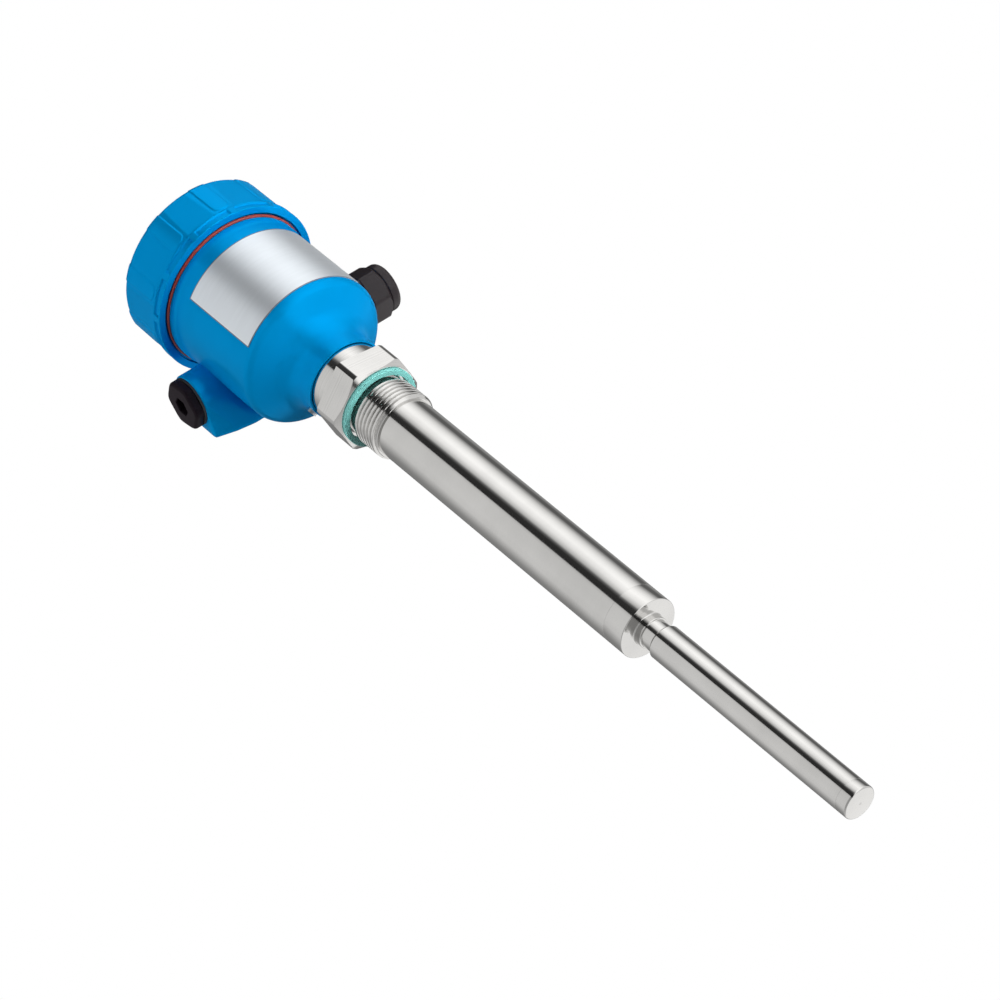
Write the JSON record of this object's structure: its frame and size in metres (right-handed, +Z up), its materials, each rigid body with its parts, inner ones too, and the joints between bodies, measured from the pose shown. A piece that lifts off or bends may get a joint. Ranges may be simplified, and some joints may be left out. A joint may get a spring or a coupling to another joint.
{
  "type": "vibrating rod level switch",
  "caption": "Level switch with a blue cast head, screw cap, cable gland and blind plug, a threaded hexagon fitting and a vibrating rod on an extension tube, for detecting bulk solids.",
  "frame": {"origin": "on the probe's axis, at the lower face of the process seal, where the switch sits on the vessel's boss", "axes": "+Z up the probe's axis towards the cap, +X towards the cable gland, -Y towards the type plate"},
  "size_m": [0.118, 0.0856, 0.4505],
  "materials": {
    "stainless": "satin",
    "plain_steel": "satin",
    "teal_seal": "matte",
    "blue_casting": "satin",
    "foil": "satin",
    "red_rubber": "matte",
    "black_rubber": "matte",
    "black_plastic": "satin",
    "ceramic_white": "matte",
    "piezo": "matte",
    "brass": "satin",
    "lead_sleeve": "satin",
    "potting": "matte",
    "grey_plastic": "satin",
    "board": "satin",
    "relay_plastic": "satin",
    "terminal_plastic": "satin",
    "switch_plastic": "satin",
    "trim_plastic": "satin",
    "white_plastic": "satin",
    "lamp": "gloss"
  },
  "bodies": {
    "probe": {"process_fitting": "stainless", "process_seal": "teal_seal", "extension_tube": "stainless", "rod_base": "stainless", "vibrating_rod": "stainless", "rod_tip": "stainless", "inner_rod": "plain_steel", "tension_bolt": "plain_steel", "insulator_rings": "ceramic_white", "piezo_discs": "piezo", "electrodes": "brass", "pressure_washer": "plain_steel", "tension_nut": "plain_steel", "drive_leads": "lead_sleeve", "feed_through": "potting", "sensor_plug": "black_plastic", "swivel_seals": "black_rubber", "retaining_ring": "plain_steel"},
    "head": {"housing": "blue_casting", "housing_mouth": "blue_casting", "type_plate": "foil", "gland_seal": "black_rubber", "gland_body": "black_plastic", "gland_insert": "black_rubber", "module_base": "grey_plastic", "module_cover": "grey_plastic", "module_screws": "plain_steel", "circuit_board": "board", "relay": "relay_plastic", "terminal_block": "terminal_plastic", "terminal_screws": "plain_steel", "mode_switch": "switch_plastic", "trim_base": "trim_plastic", "lamp_lens": "lamp", "ground_washer": "brass", "ground_screw": "brass", "earth_clamp": "plain_steel", "earth_screw": "plain_steel"},
    "lock_screw": {"lock_screw": "plain_steel"},
    "cap_ring": {"cap_seal": "red_rubber"},
    "cap": {"cap": "blue_casting"},
    "gland_nut": {"gland_nut": "black_plastic"},
    "plug_ring": {"plug_seal": "black_rubber"},
    "blind_plug": {"blind_plug": "black_plastic"},
    "mode_slider": {"mode_slider": "white_plastic"},
    "trim_knob": {"trim_knob": "white_plastic"}
  },
  "joints": [
    {"name": "head_swivel", "type": "hinge", "parent": "probe", "child": "head", "pos_m": [0, 0, 0.0254], "axis": [0, 0, 1], "range_deg": [-165, 165]},
    {"name": "lock_screw_turn", "type": "hinge", "parent": "head", "child": "lock_screw", "pos_m": [-0.01559, 0.009, 0.0294], "axis": [-0.866, 0.5, 0], "range_deg": [0, 360]},
    {"name": "cap_lift", "type": "slide", "parent": "head", "child": "cap_ring", "axis": [0, 0, 1], "range_m": [0, 0.05]},
    {"name": "cap_turn", "type": "hinge", "parent": "cap_ring", "child": "cap", "pos_m": [0, 0, 0.12], "axis": [0, 0, 1], "continuous": true},
    {"name": "gland_nut_turn", "type": "hinge", "parent": "head", "child": "gland_nut", "pos_m": [0.0575, 0.0248, 0.0867], "axis": [1, 0, 0], "continuous": true},
    {"name": "plug_pull", "type": "slide", "parent": "head", "child": "plug_ring", "axis": [-1, 0, 0], "range_m": [0, 0.03]},
    {"name": "plug_turn", "type": "hinge", "parent": "plug_ring", "child": "blind_plug", "pos_m": [-0.048, 0.0248, 0.0867], "axis": [-1, 0, 0], "continuous": true},
    {"name": "mode_slide", "type": "slide", "parent": "head", "child": "mode_slider", "axis": [1, 0, 0], "range_m": [0, 0.002]},
    {"name": "trim_turn", "type": "hinge", "parent": "head", "child": "trim_knob", "pos_m": [0.009, 0.007, 0.098], "axis": [0, 0, 1], "range_deg": [-135, 135]}
  ]
}
